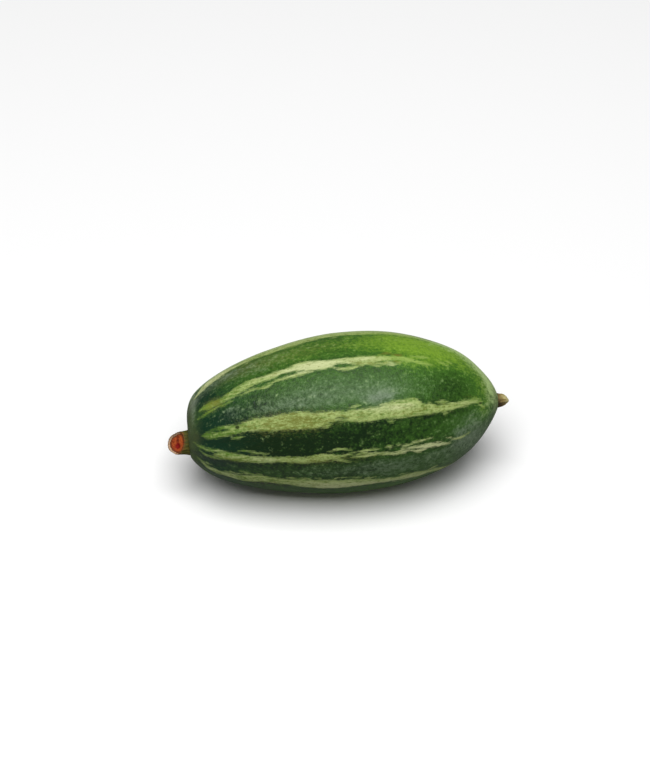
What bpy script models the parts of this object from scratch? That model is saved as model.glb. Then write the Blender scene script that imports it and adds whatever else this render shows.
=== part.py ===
"""A pointed gourd as picked, lying on a surface.

Three pieces: the fruit, the cut stub of its stem and the dried remnant of its flower. Metres, +Z up.
+X runs along the fruit from the stem end to the blossom end. The origin is the middle of the gourd's
box, on the surface that it lies on. Run with: blender --background --python part.py
"""

import math

import bmesh
import bpy
from mathutils import Matrix, Quaternion, Vector

# The fruit
FRUIT_LENGTH = 0.077
FRUIT_RADIUS = 0.0194
WIDEST_AT = 0.49  # share of the length, from the stem end
STEM_POWERS = (1.42, 2.94)  # along and across, for the blunt half
BLOSSOM_POWERS = (2.82, 1.36)  # for the pointed half
STEM_POLE_SHIFT = (-0.0019, -0.0019)  # the stem grows off the fruit's axis, in Y and Z
SHIFT_REACH = 0.0094  # ring radius at which the shift has faded out
BOW = (0.0007, 0.0007)  # how far the middle stands off the line through the ends, in Y and Z
STEM_CUP = (0.0008, 0.0032)  # depth and spread of the hollow that the stem stands in
RIDGE_ANGLES = (17, 53, 96, 137, 169, 203, 237, 270, 306, 341)  # degrees round the fruit, from +Y to +Z
RIDGE_HEIGHT = 0.005  # share of the radius, at the widest ring
RIDGE_PUCKER = 0.026  # what is added to it at the stem end
REST_PITCH = math.radians(2.0)  # the stem end lies this much lower, which brings the weight over the rest spot
REST_SPOT_DEPTH = 0.00025  # how much of the belly the flat spot takes off
FRUIT_SEGMENTS = 64
FRUIT_RINGS = 44
RING_CROWDING = 1.3  # over 1, the rings stand closer at the stem end

# The stub of the stem
STEM_RADIUS = 0.0027
STEM_FLARE = 0.0005  # added at the foot
STEM_LENGTH = 0.0032
STEM_LEAN = Vector((-0.90, -0.15, 0.40))  # the way the stub runs
STEM_CUT_NORMAL = Vector((-0.75, -0.27, 0.60))  # the way its cut face looks
STEM_RIBS = 5
STEM_RIB_HEIGHT = 0.07  # share of the radius
STEM_RIB_TURN = math.radians(20)
STEM_RIM = 0.00045  # width of the raised bark round the cut
STEM_RECESS = 0.0004  # depth of the cut face inside it
STEM_SEGMENTS = 35
STEM_RINGS = 22

# The dried remnant of the flower
REMNANT_RADIUS = 0.00175
REMNANT_LENGTH = 0.0020
REMNANT_POINT = (0.00035, 0.00035)  # height and spread of the small point at its tip
REMNANT_FOLDS = 5
REMNANT_FOLD_HEIGHT = 0.09  # share of the radius
REMNANT_LEAN = Vector((0.99, -0.09, -0.08))
REMNANT_SEGMENTS = 30
REMNANT_RINGS = 18

GAP = 0.0003  # clear space between pieces that meet

COLOURS = {
    "fruit": ((0.055, 0.150, 0.035), 0.42),
    "stem_stub": ((0.330, 0.180, 0.075), 0.70),
    "blossom_remnant": ((0.300, 0.190, 0.090), 0.75),
}


def smooth(x):
    """0 to 1, easing in and out."""
    x = min(1.0, max(0.0, x))
    return x * x * (3 - 2 * x)


def material(name):
    colour, roughness = COLOURS[name]
    made = bpy.data.materials.new(name)
    made.use_nodes = True
    shader = made.node_tree.nodes["Principled BSDF"]
    shader.inputs["Base Color"].default_value = (*colour, 1.0)
    shader.inputs["Roughness"].default_value = roughness
    shader.inputs["Metallic"].default_value = 0.0
    return made


def formed(name, segments, rings, shape, parent, collection):
    """A globe with its poles on X, each point of which is moved to shape(share, angle).

    share runs from 0 at the globe's -X pole to 1 at its +X pole, and angle from +Y towards +Z.
    """
    mesh = bpy.data.meshes.new(name)
    globe = bmesh.new()
    bmesh.ops.create_uvsphere(globe, u_segments=segments, v_segments=rings, radius=1.0)
    bmesh.ops.rotate(globe, verts=globe.verts, cent=(0, 0, 0), matrix=Matrix.Rotation(-math.pi / 2, 3, "Y"))
    for vertex in globe.verts:
        x, y, z = vertex.co
        vertex.co = shape(math.acos(max(-1.0, min(1.0, -x))) / math.pi, math.atan2(z, y))
    globe.to_mesh(mesh)
    globe.free()
    mesh.shade_smooth()
    mesh.set_sharp_from_angle(angle=math.radians(40))
    made = bpy.data.objects.new(name, mesh)
    made.data.materials.append(material(name))
    made.parent = parent
    collection.objects.link(made)
    return made


def powers(w):
    return STEM_POWERS if w < 0 else BLOSSOM_POWERS


def half_length(w):
    return FRUIT_LENGTH * (WIDEST_AT if w < 0 else 1 - WIDEST_AT)


def ring_radius(w):
    """The fruit's radius at w: -1 is the stem pole, 0 the widest ring and 1 the blossom pole."""
    along, across = powers(w)
    return FRUIT_RADIUS * max(0.0, 1 - abs(w) ** along) ** (1 / across)


def ring_centre(w, radius):
    """Where the ring's middle is, in Y and Z."""
    fade = 1 - smooth(radius / SHIFT_REACH) if w < 0 else 0.0
    bow = 1 - w * w
    return [shift * fade + rise * bow for shift, rise in zip(STEM_POLE_SHIFT, BOW)]


def cup(radius):
    depth, spread = STEM_CUP
    return depth * math.exp(-0.5 * (radius / spread) ** 2)


def ring_place(w, radius):
    """The ring's place along X."""
    return half_length(w) * w + (cup(radius) if w < 0 else 0.0)


def ridge(angle):
    """1 on a ridge, -1 midway between two ridges."""
    degrees = math.degrees(angle) % 360
    turns = [a for a in RIDGE_ANGLES] + [RIDGE_ANGLES[0] + 360]
    if degrees < turns[0]:
        degrees += 360
    for low, high in zip(turns, turns[1:]):
        if low <= degrees <= high:
            return math.cos(2 * math.pi * (degrees - low) / (high - low))
    return 1.0


def fruit_point(share, angle):
    w = -math.cos(math.pi * share**RING_CROWDING)
    radius = ring_radius(w)
    height = RIDGE_HEIGHT + (RIDGE_PUCKER * abs(w) ** 4 if w < 0 else 0.0)
    y, z = ring_centre(w, radius)
    reach = radius * (1 + height * ridge(angle))
    return Vector((ring_place(w, radius), y + reach * math.cos(angle), z + reach * math.sin(angle)))


def end_point(side, radius, angle):
    """A point of the fruit's end, at a distance from its pole. side is -1 at the stem and 1 at the blossom."""
    along, across = powers(side)
    w = side * (1 - (radius / FRUIT_RADIUS) ** across) ** (1 / along)
    y, z = ring_centre(w, radius)
    place = ring_place(w, radius) + side * GAP
    return Vector((place, y + radius * math.cos(angle), z + radius * math.sin(angle)))


def cut_rest_spot(fruit):
    """Takes the lowest sliver off the belly, so that the fruit stands on a small flat spot."""
    down = fruit.matrix_world.to_3x3().inverted() @ Vector((0, 0, -1))
    depth = max(vertex.co.dot(down) for vertex in fruit.data.vertices) - REST_SPOT_DEPTH
    spot = bmesh.new()
    spot.from_mesh(fruit.data)
    cut = bmesh.ops.bisect_plane(
        spot,
        geom=[*spot.verts, *spot.edges, *spot.faces],
        plane_co=down * depth,
        plane_no=down,
        clear_outer=True,
    )
    rim = [item for item in cut["geom_cut"] if isinstance(item, bmesh.types.BMEdge)]
    bmesh.ops.contextual_create(spot, geom=rim)
    bmesh.ops.recalc_face_normals(spot, faces=spot.faces)
    spot.to_mesh(fruit.data)
    spot.free()


def make_fruit(parent, collection):
    fruit = formed("fruit", FRUIT_SEGMENTS, FRUIT_RINGS, fruit_point, parent, collection)
    bpy.context.view_layer.update()
    cut_rest_spot(fruit)
    return fruit


def make_stem_stub(parent, collection):
    """A ribbed stub that grows out of the cup, leans and ends in a slanting cut with raised bark round it."""
    foot = end_point(-1, 0.0, 0.0)
    end = foot + STEM_LEAN.normalized() * STEM_LENGTH
    turn = Vector((-1, 0, 0)).rotation_difference(STEM_CUT_NORMAL.normalized())
    foot_share, side_share, rim_share = 0.16, 0.62, 0.76

    def shape(share, angle):
        share = 1 - share
        ribs = 1 + STEM_RIB_HEIGHT * math.cos(STEM_RIBS * (angle - STEM_RIB_TURN))
        if share <= foot_share:
            return end_point(-1, (STEM_RADIUS + STEM_FLARE) * ribs * share / foot_share, angle)
        along = min(1.0, (share - foot_share) / (side_share - foot_share))
        if share <= side_share:
            radius = STEM_RADIUS + STEM_FLARE * (1 - along) ** 3
            sink = 0.0
        elif share <= rim_share:
            over = (share - side_share) / (rim_share - side_share)
            radius = STEM_RADIUS - STEM_RIM * over
            sink = STEM_RECESS * over * over
        else:
            inward = (1 - share) / (1 - rim_share)
            radius = (STEM_RADIUS - STEM_RIM) * inward
            sink = STEM_RECESS * (1 + 0.5 * (1 - inward * inward))
        radius *= ribs
        follow = (end_point(-1, radius, angle) - foot).x * (1 - smooth(along * 3))
        facing = Quaternion().slerp(turn, along)
        flat = Vector((sink + follow, radius * math.cos(angle), radius * math.sin(angle)))
        return foot.lerp(end, along) + facing @ flat

    return formed("stem_stub", STEM_SEGMENTS, STEM_RINGS, shape, parent, collection)


def make_blossom_remnant(parent, collection):
    """A small withered beak with soft folds and a point."""
    foot = end_point(1, 0.0, 0.0)
    turn = Vector((1, 0, 0)).rotation_difference(REMNANT_LEAN.normalized())
    foot_share = 0.25
    point_height, point_spread = REMNANT_POINT

    def shape(share, angle):
        folds = 1 + REMNANT_FOLD_HEIGHT * math.cos(REMNANT_FOLDS * angle)
        if share <= foot_share:
            return end_point(1, REMNANT_RADIUS * folds * share / foot_share, angle)
        swing = math.pi / 2 * (share - foot_share) / (1 - foot_share)
        radius = REMNANT_RADIUS * math.cos(swing) ** 1.15 * folds
        point = point_height * math.exp(-0.5 * (radius / point_spread) ** 2)
        rise = REMNANT_LENGTH * math.sin(swing) + point
        follow = (end_point(1, radius, angle) - foot).x * (1 - smooth(swing))
        facing = Quaternion().slerp(turn, math.sin(swing))
        flat = Vector((rise + follow, radius * math.cos(angle), radius * math.sin(angle)))
        return foot + facing @ flat

    return formed("blossom_remnant", REMNANT_SEGMENTS, REMNANT_RINGS, shape, parent, collection)


def box_of(pieces):
    """The lowest and the highest corner of the pieces together."""
    points = [piece.matrix_world @ vertex.co for piece in pieces for vertex in piece.data.vertices]
    low = Vector([min(point[i] for point in points) for i in range(3)])
    high = Vector([max(point[i] for point in points) for i in range(3)])
    return low, high


def main():
    for old in list(bpy.data.objects):
        bpy.data.objects.remove(old)
    collection = bpy.data.collections.new("pointed_gourd")
    bpy.context.scene.collection.children.link(collection)
    axis = bpy.data.objects.new("gourd_axis", None)
    axis.rotation_euler.y = -REST_PITCH
    collection.objects.link(axis)
    pieces = [
        make_fruit(axis, collection),
        make_stem_stub(axis, collection),
        make_blossom_remnant(axis, collection),
    ]
    bpy.context.view_layer.update()
    low, high = box_of(pieces)
    axis.location = (-(low.x + high.x) / 2, -(low.y + high.y) / 2, -low.z)


main()
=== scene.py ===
# %% [markdown]
# # A striped pointed gourd
#
# A pointed gourd is a smooth oval fruit, about as long as a finger, with pale ragged stripes that run
# from the stem to the tip. This lesson builds it in three pieces: the fruit, the cut stub of its stalk,
# and the dried remnant of the flower at the other end. Each piece is a globe of points that a formula
# moves into place, so its whole shape stays a handful of sizes that can be read and changed.
#
# The solids of the gourd are loaded first, as a fixed frame. Every finished piece stands for one of them
# and keeps its size and place.

import math

import bmesh
import bpy
import numpy as np
from mathutils import Matrix, Vector, noise


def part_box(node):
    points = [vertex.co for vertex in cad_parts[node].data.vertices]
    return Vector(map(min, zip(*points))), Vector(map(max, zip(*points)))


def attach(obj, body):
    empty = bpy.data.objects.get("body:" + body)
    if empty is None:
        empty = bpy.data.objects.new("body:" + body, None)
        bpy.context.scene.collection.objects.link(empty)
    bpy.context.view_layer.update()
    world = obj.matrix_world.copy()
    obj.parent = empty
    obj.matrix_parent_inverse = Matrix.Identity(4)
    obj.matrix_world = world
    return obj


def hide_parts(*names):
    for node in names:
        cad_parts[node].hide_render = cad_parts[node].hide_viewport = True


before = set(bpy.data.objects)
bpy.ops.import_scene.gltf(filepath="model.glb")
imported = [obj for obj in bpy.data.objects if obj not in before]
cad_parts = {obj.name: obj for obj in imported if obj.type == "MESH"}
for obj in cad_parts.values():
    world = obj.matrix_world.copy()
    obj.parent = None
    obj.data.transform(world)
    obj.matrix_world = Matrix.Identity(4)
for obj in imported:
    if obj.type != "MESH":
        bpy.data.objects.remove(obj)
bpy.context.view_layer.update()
fruit_low, fruit_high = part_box("fruit")
print("nodes:", sorted(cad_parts))
print("fruit box in mm:", [round(v * 1000, 1) for v in (*fruit_low, *fruit_high)])

# %% [markdown]
# ## Units and sizes
#
# Blender works in metres, but a skin is easier to think of in millimetres, so sizes are written as a
# number of `MM`. They are the sizes of the solids, because the finished pieces have to lie where the
# solids lie.

# %% The sizes of the fruit
MM = 0.001
FRUIT_LENGTH = 77 * MM
FRUIT_RADIUS = 19.4 * MM
WIDEST_AT = 0.49
STEM_POWERS = (1.42, 2.94)
BLOSSOM_POWERS = (2.82, 1.36)
STEM_POLE_SHIFT = np.array((-1.9, -1.9)) * MM
SHIFT_REACH = 9.4 * MM
BOW = np.array((0.7, 0.7)) * MM
CUP_DEPTH = 0.8 * MM
CUP_SPREAD = 3.2 * MM
REST_PITCH = math.radians(2)
REST_SPOT_DEPTH = 0.25 * MM

# %% [markdown]
# ## The outline of the fruit
#
# Seen from the side, the fruit has a blunt half at the stem and a pointed half at the blossom. Each half
# could be drawn as a curve and turned on a lathe. A formula does the same with two numbers for each half:
# a *superellipse*, which is an ellipse whose powers are not 2. Larger powers make an end blunter and
# smaller ones make it more pointed. `w` runs from -1 at the stem pole, through 0 at the widest ring, to 1
# at the blossom pole.

# %% The outline
def smooth(x):
    """0 to 1, easing in and out."""
    x = np.clip(x, 0, 1)
    return x * x * (3 - 2 * x)


def ring_radius(w):
    along = np.where(w < 0, STEM_POWERS[0], BLOSSOM_POWERS[0])
    across = np.where(w < 0, STEM_POWERS[1], BLOSSOM_POWERS[1])
    return FRUIT_RADIUS * np.maximum(0, 1 - np.abs(w) ** along) ** (1 / across)


def ring_place(w, radius):
    """Where the ring is along X. The stem stands in a shallow cup."""
    half = FRUIT_LENGTH * np.where(w < 0, WIDEST_AT, 1 - WIDEST_AT)
    cup = CUP_DEPTH * np.exp(-0.5 * (radius / CUP_SPREAD) ** 2)
    return half * w + np.where(w < 0, cup, 0)


def ring_centre(w, radius):
    """Where the ring's middle is in Y and Z. The fruit bows a little and its stem grows off the axis."""
    fade = np.where(w < 0, 1 - smooth(radius / SHIFT_REACH), 0)
    bow = 1 - w * w
    return STEM_POLE_SHIFT[0] * fade + BOW[0] * bow, STEM_POLE_SHIFT[1] * fade + BOW[1] * bow


# %% [markdown]
# ## Measuring along the skin
#
# The stripes and the fine grain of the skin keep one scale from end to end, although the rings get small
# near the poles. So places on the skin are given as millimetres along it from the stem pole, and degrees
# round it, from +Y through +Z. The table below is filled once, by walking down the outline in small
# steps.

# %% The walk down the outline
walk_w = -np.cos(np.linspace(0, math.pi, 4001))
walk_radius = ring_radius(walk_w)
walk_steps = np.hypot(np.diff(ring_place(walk_w, walk_radius)), np.diff(walk_radius))
walk_along = np.concatenate([[0], np.cumsum(walk_steps)]) / MM
SKIN_LENGTH = walk_along[-1]
print("skin from pole to pole:", round(SKIN_LENGTH, 1), "mm")


def w_at(along):
    """The w of a place that is so many millimetres along the skin."""
    return np.interp(along, walk_along, walk_w)


# %% [markdown]
# ## A helper that forms a globe
#
# All three pieces are closed and roundish, so each starts as a UV sphere with its poles turned onto X,
# which gives clean rings and closed ends. The helper reads each point's place on the sphere as a share
# from pole to pole and an angle, and hands both to the piece's own formula.

# %% Forming a globe
def placed(name, data):
    """A new object in the scene."""
    made = bpy.data.objects.new(name, data)
    bpy.context.scene.collection.objects.link(made)
    return made


def formed(name, segments, rings, shape):
    """A closed piece. shape(share, angle) gives its points. share is 0 at the -X pole and 1 at +X."""
    mesh = bpy.data.meshes.new(name)
    globe = bmesh.new()
    bmesh.ops.create_uvsphere(globe, u_segments=segments, v_segments=rings, radius=1.0)
    bmesh.ops.rotate(globe, verts=globe.verts, cent=(0, 0, 0), matrix=Matrix.Rotation(-math.pi / 2, 3, "Y"))
    globe.to_mesh(mesh)
    globe.free()
    points = np.empty(len(mesh.vertices) * 3)
    mesh.vertices.foreach_get("co", points)
    x, y, z = points.reshape(-1, 3).T
    share = np.round(np.arccos(np.clip(-x, -1, 1)) / math.pi * rings) / rings
    angle = np.round(np.arctan2(z, y) / (2 * math.pi) * segments) / segments * 2 * math.pi
    points, marks = shape(share, angle)
    mesh.vertices.foreach_set("co", in_frame(points).astype(np.float32).ravel())
    for mark, values in marks.items():
        flat = values.ndim == 1
        stored = mesh.attributes.new(mark, "FLOAT" if flat else "FLOAT_VECTOR", "POINT")
        stored.data.foreach_set("value" if flat else "vector", values.astype(np.float32).ravel())
    mesh.shade_smooth()
    mesh.update()
    piece = placed(name, mesh)
    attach(piece, "root")
    print(name, "has", 2 * segments * (rings - 1), "triangles")
    return piece


# %% [markdown]
# ## From the fruit's own axes to the frame
#
# The formulas work in the fruit's own axes, with X down its middle. On the table the fruit lies pitched
# by two degrees, the stem end lower, which brings its weight over the spot that it rests on. The shift is
# measured against the solid's box, so the finished skin lands on the solid.

# %% Placing points in the frame
def pitched(points):
    turn = np.array(Matrix.Rotation(-REST_PITCH, 3, "Y"))
    return points @ turn.T


def around(place, radius, angle, y=0, z=0):
    """Points round a line along X."""
    return np.stack([place, y + radius * np.cos(angle), z + radius * np.sin(angle)], -1)


def plain_points(along, angle):
    """The fruit's points without any relief, and the w and the radius of the ring that each lies on."""
    w = w_at(along)
    radius = ring_radius(w)
    y, z = ring_centre(w, radius)
    return around(ring_place(w, radius), radius, angle, y, z), w, radius


whole_skin = np.meshgrid(np.linspace(0, SKIN_LENGTH, 400), np.linspace(0, 2 * math.pi, 180))
whole_skin = pitched(plain_points(*whole_skin)[0].reshape(-1, 3))
frame_shift = (np.array(fruit_low) + np.array(fruit_high) - whole_skin.min(0) - whole_skin.max(0)) / 2
frame_shift[2] = fruit_low.z - REST_SPOT_DEPTH - whole_skin[:, 2].min()
print("shift into the frame in mm:", np.round(frame_shift / MM, 2))


def in_frame(points):
    return pitched(points) + frame_shift


# %% [markdown]
# ## The stripes
#
# Ten pale stripes run from the stem to the tip. They could be painted on an image, but a formula keeps
# them sharp at any distance. Each stripe is a few places given as millimetres along the skin, degrees
# round it and half its width in millimetres, joined by a smooth curve. A stripe is told apart from the
# green by a *signed distance*: how far inside the nearest stripe's edge a point lies, in millimetres, and
# below zero outside. A material can fray an edge that is given this way just by adding noise to the
# distance.

# %% The places of the stripes
STRIPES = [
    [(10, 74, 0.4), (12, 70, 0.9), (20, 61, 1.7), (34, 58, 2.3), (49, 57, 2.3), (62, 59, 1.6),
     (74, 61, 0.4)],
    [(11.3, 107, 0.3), (13.9, 107, 0.85), (17.8, 106.6, 0.78), (20, 104.2, 1), (24, 99.8, 1.15),
     (28, 98.2, 0.75), (30, 97.8, 0.85), (33.2, 96, 0.62), (35.4, 95.5, 0.8), (37.4, 95, 1.3),
     (41.3, 96.8, 1.42), (44.5, 97.3, 1.1), (46.5, 96, 0.75), (51, 97, 1.2), (57, 97.6, 1.25),
     (61, 97, 1), (63, 97, 0.75), (65.8, 98.6, 0.42), (68, 99.6, 0.36), (69.5, 99.6, 0.05)],
    [(11.5, 143.5, 0.4), (12.8, 142.8, 0.85), (15, 141.2, 1.2), (18, 139.3, 1.25), (21.1, 138.6, 1.1),
     (23, 137.4, 1.3), (25.9, 136.9, 1.42), (28.5, 137.3, 1.6), (31, 137.2, 1.78), (33.5, 137, 1.98),
     (37.5, 137.5, 2.05), (39.5, 138.4, 1.85), (42, 137.8, 1.55), (43.5, 137, 1.3), (45.8, 137, 1.18),
     (48.2, 137.8, 1.27), (50.5, 138, 1.5), (52.9, 138, 1.62), (55.3, 137.8, 1.58), (57.3, 136.8, 1.72),
     (59.5, 136.4, 1.95), (64.3, 135.9, 1.9), (65.6, 137.3, 1.4), (67.7, 137.5, 1.3), (69.5, 138.4, 0.9),
     (71.6, 138.4, 0.92), (73.7, 137.5, 0.85), (75.7, 136.9, 0.66), (77.7, 135.8, 0.68),
     (80, 134.8, 0.62), (82.2, 134.6, 0.48), (83.8, 134.4, 0.2)],
    [(14.2, 166.8, 0.3), (15, 166.7, 0.72), (18.4, 166.5, 1.05), (20.9, 167.5, 1), (23.3, 168, 0.92),
     (25.8, 168.7, 0.9), (28.2, 168.3, 0.8), (30.7, 167.8, 0.68), (33, 168.3, 0.84), (37.8, 168.7, 0.88),
     (40.2, 167.7, 1.05), (42.1, 167.3, 0.9), (44, 167.3, 0.58), (46.2, 166.5, 0.32),
     (47.5, 165.5, 0.15)],
    [(9, 186, 0.25), (10.6, 189.5, 0.48), (11.8, 193.5, 0.62), (14, 194.5, 0.72), (18.4, 194.8, 0.84),
     (20.5, 195.6, 1.2), (23.4, 193.6, 1.34), (25.9, 192.4, 1.26), (28.3, 193.6, 1.24),
     (32.7, 194.8, 1.35), (34.6, 195.8, 1.68), (37.5, 196.6, 1.95), (43.5, 197, 2), (46.5, 197, 1.85),
     (49.1, 196.7, 1.66), (51, 197.1, 1.46), (53.2, 197.5, 1.12), (55.4, 198.2, 0.98),
     (58.4, 198.9, 0.95), (61.4, 199.2, 1.35), (64.4, 201.6, 1.4), (66.6, 203.1, 0.95),
     (68.5, 205.8, 1.2), (72, 214.5, 0.8), (75, 219, 0.2)],
    [(9, 218, 0.3), (14, 231, 1), (30, 237, 1.5), (48, 236, 1.9), (66, 238, 1.2), (82, 240, 0.2)],
    [(9, 264, 0.3), (14, 268, 0.8), (30, 271, 1.3), (48, 270, 1.2), (66, 272, 1.4), (79, 270, 0.1)],
    [(9, 305, 0.3), (14, 304, 1.1), (30, 303, 1.8), (48, 306, 1.6), (66, 305, 1), (84, 306, 0.3)],
    [(9, 350, 0.3), (14, 345, 0.9), (30, 341, 1.2), (48, 342, 1.9), (66, 340, 1.5), (78, 342, 0.1)],
    [(9, 403, 0.3), (14, 391, 0.9), (30, 378, 1.7), (48, 376, 1.5), (66, 378, 1.6), (83, 381, 0.3)],
]


def curve(x, xs, ys):
    """A smooth curve through a few places, level outside them."""
    xs, ys = np.array(xs, float), np.array(ys, float)
    slopes = np.gradient(ys, xs)
    slopes[[0, -1]] = 0
    i = np.clip(np.searchsorted(xs, x) - 1, 0, len(xs) - 2)
    gap = xs[i + 1] - xs[i]
    t = np.clip((x - xs[i]) / gap, 0, 1)
    start = (2 * t**3 - 3 * t**2 + 1) * ys[i] + (t**3 - 2 * t**2 + t) * gap * slopes[i]
    return start + (3 * t**2 - 2 * t**3) * ys[i + 1] + (t**3 - t**2) * gap * slopes[i + 1]


def turned(degrees):
    """The same angle between -180 and 180."""
    return (degrees + 180) % 360 - 180


def inside_path(along, degrees, radius_mm, path):
    """Signed distance in mm into one stripe or strand. It closes to a point at both ends."""
    at, round_at, half = zip(*path)
    middle = curve(along, at, round_at)
    aside = np.abs(turned(degrees - middle)) * math.pi / 180 * radius_mm
    past = np.maximum(0, np.maximum(at[0] - along, along - at[-1]))
    return curve(along, at, half) - aside - past * 0.6


# %% [markdown]
# ## Loose strands beside the stripes
#
# A stripe sheds thin strands that lie nearly along it. The ones in view are placed one by one.
# They are short paths of the same kind, and the larger of two signed distances joins two shapes into one.
# The other stripes get strands at random, with a fixed seed, so that every run gives the same fruit.
#
# Some strands are gaps: short dark dashes in the middle of a stripe. The smaller of two distances cuts
# one out.

# %% The places of the strands
STRANDS = [
    [(10.3, 117.6, 0.1), (12.8, 116, 0.27), (14.9, 113.6, 0.3), (16.6, 112, 0.28), (18.2, 111.6, 0.24),
     (20.4, 110.6, 0.1)],
    [(22.6, 107.6, 0.06), (24.5, 106.5, 0.22), (26.3, 105.9, 0.16), (28.1, 106.1, 0.3), (29.6, 106, 0.3),
     (30.6, 105.2, 0.06)],
    [(29.6, 104, 0.06), (31.6, 102.8, 0.2), (34.3, 102.2, 0.36), (35.8, 102, 0.42), (37.5, 101.8, 0.36),
     (40.4, 101.3, 0.2)],
    [(44.8, 100.5, 0.1), (46.6, 102.5, 0.25), (49.5, 103, 0.42), (52.9, 101, 0.2)],
    [(54.3, 101, 0.05), (55.9, 102.5, 0.3), (57.7, 101.5, 0.1)],
    [(57.9, 101, 0.1), (59.4, 101.8, 0.36), (61.3, 101, 0.1)],
    [(64.2, 93.6, 0.05), (66.5, 92.9, 0.3), (68.2, 92.4, 0.34), (69.8, 92.6, 0.05)],
    [(70.2, 93, 0.03), (71.6, 93, 0.24), (72.8, 93.6, 0.03)],
    [(71.9, 95.2, 0.03), (73.2, 96.3, 0.26), (74.6, 95.6, 0.03)],
    [(73.3, 91.4, 0.03), (74.3, 91, 0.28), (75.2, 91.6, 0.03)],
    [(69.2, 133.3, 0.05), (70.4, 133.1, 0.24), (71.4, 132.8, 0.28), (72.4, 132.8, 0.05)],
    [(66.2, 134.2, 0.1), (67.6, 133.9, 0.22), (68.8, 134.2, 0.05)],
    [(48.2, 132, 0.05), (49.3, 131.5, 0.26), (50.7, 131, 0.05)],
    [(55.5, 131.5, 0.05), (58, 131, 0.34), (61.5, 130.5, 0.36), (64.8, 129.6, 0.1)],
    [(41.1, 144, 0.1), (42.3, 143.6, 0.42), (43.6, 142, 0.1)],
    [(57.3, 144.5, 0), (57.8, 144.5, 0.25), (58.3, 144.5, 0)],
    [(19.1, 148, 0.02), (20.7, 147, 0.28), (22.2, 146, 0.02)],
    [(82.3, 139, 0.05), (83.4, 142, 0.36), (84.4, 145.5, 0.34), (85, 147.5, 0.05)],
    [(70.2, 141.5, 0.03), (71, 143, 0.26), (72.1, 143, 0.03)],
    [(7.7, 154.2, 0.06), (9.2, 158.5, 0.22), (11.1, 160.7, 0.28), (13.2, 161.7, 0.3), (15.4, 161.4, 0.32),
     (17.5, 162.5, 0.28), (19.2, 163.9, 0.1)],
    [(9.9, 165.7, 0.06), (11.3, 169.7, 0.34), (12.7, 170.4, 0.34), (14.1, 170.8, 0.36),
     (15.6, 171.7, 0.1)],
    [(20.6, 159.7, 0.05), (23, 160.2, 0.2), (25.2, 161.7, 0.2), (27.9, 162.2, 0.05)],
    [(42.5, 162.2, 0.05), (44.1, 161.4, 0.24), (46.3, 161.7, 0.25), (47.7, 162.7, 0.05)],
    [(43.3, 169.7, 0.2), (45.4, 170.7, 0.36), (47.5, 172.2, 0.05)],
    [(47.9, 165.2, 0.1), (50.3, 164.2, 0.22), (52.7, 164.2, 0.22), (54.6, 164.2, 0.05)],
    [(47.8, 168.2, 0.15), (50.2, 168.7, 0.32), (55, 168, 0.34), (57.9, 169.5, 0.4), (60.1, 169.7, 0.42),
     (61.6, 169.2, 0.1)],
    [(48.8, 166.2, 0.1), (51.2, 166.2, 0.22), (54.1, 166.7, 0.1)],
    [(55.8, 163.2, 0.05), (56.8, 163.2, 0.28), (58, 163.7, 0.03)],
    [(58.5, 163.2, 0.1), (60.4, 164.4, 0.3), (62.4, 163.7, 0.3), (64.7, 162.7, 0.28),
     (67.8, 162.3, 0.05)],
    [(59.6, 167.2, 0.15), (61.9, 167.2, 0.38), (64.4, 168.2, 0.45), (67, 169.2, 0.6), (69.6, 170.7, 0.68),
     (72.2, 173.7, 0.2)],
    [(62.1, 169.7, 0.2), (64.1, 171.7, 0.5), (66.2, 171.2, 0.15)],
    [(71.3, 166.2, 0.03), (73.6, 170.7, 0.28), (76.1, 173.2, 0.3), (78.7, 171.7, 0.05)],
]
GAPS = [
    [(44.6, 138.1, 0.05), (46.3, 138.5, 0.22), (47.6, 138.5, 0.05)],
    [(45.6, 99.5, 0.1), (47.2, 100, 0.4), (49.2, 99.5, 0.15)],
    [(55.6, 99, 0.02), (57.4, 99.2, 0.24), (58.8, 98.8, 0.1), (60.6, 98.9, 0.36), (62.6, 97.8, 0.05)],
    [(22.2, 163.2, 0.02), (24.2, 163.7, 0.16), (26.1, 164.2, 0.02)],
    [(12.5, 138.5, 0.02), (15.5, 138.6, 0.2), (18.5, 138.2, 0.02)],
]
LOOSE_STRANDS = 130
FIRST_LOOSE = 4  # this stripe, those after it and the first one get strands at random
draw = np.random.default_rng(11)


def loose_strands():
    """Strands at random, each close to the edge of a stripe."""
    made = []
    for _ in range(LOOSE_STRANDS):
        path = STRIPES[draw.integers(FIRST_LOOSE, len(STRIPES) + 1) % len(STRIPES)]
        at, round_at, half = zip(*path)
        along = draw.uniform(at[0] + 2, at[-1] + 1)
        edge = curve(along, at, half) + draw.uniform(0.0, 0.9)
        radius_mm = ring_radius(w_at(along)) / MM
        aside = math.degrees(edge / radius_mm) * draw.choice([-1, 1])
        middle = float(curve(along, at, round_at) + aside)
        reach = draw.uniform(0.5, 2.6)
        drift = draw.uniform(-1.5, 1.5)
        wide = draw.uniform(0.1, 0.3)
        start, end = (along - reach, middle - drift, 0.02), (along + reach, middle + drift, 0.02)
        made.append([start, (along, middle, wide), end])
    return made


def inside_stripe(along, degrees, radius_mm):
    """Signed distance in mm into all that is pale."""
    deepest = np.full(along.shape, -99.0)
    for path in [*STRIPES, *STRANDS, *loose_strands()]:
        deepest = np.maximum(deepest, inside_path(along, degrees, radius_mm, path))
    for path in GAPS:
        deepest = np.minimum(deepest, -inside_path(along, degrees, radius_mm, path))
    return deepest


print(len(STRIPES), "stripes,", len(STRANDS), "strands placed by eye,", LOOSE_STRANDS, "at random")
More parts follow.
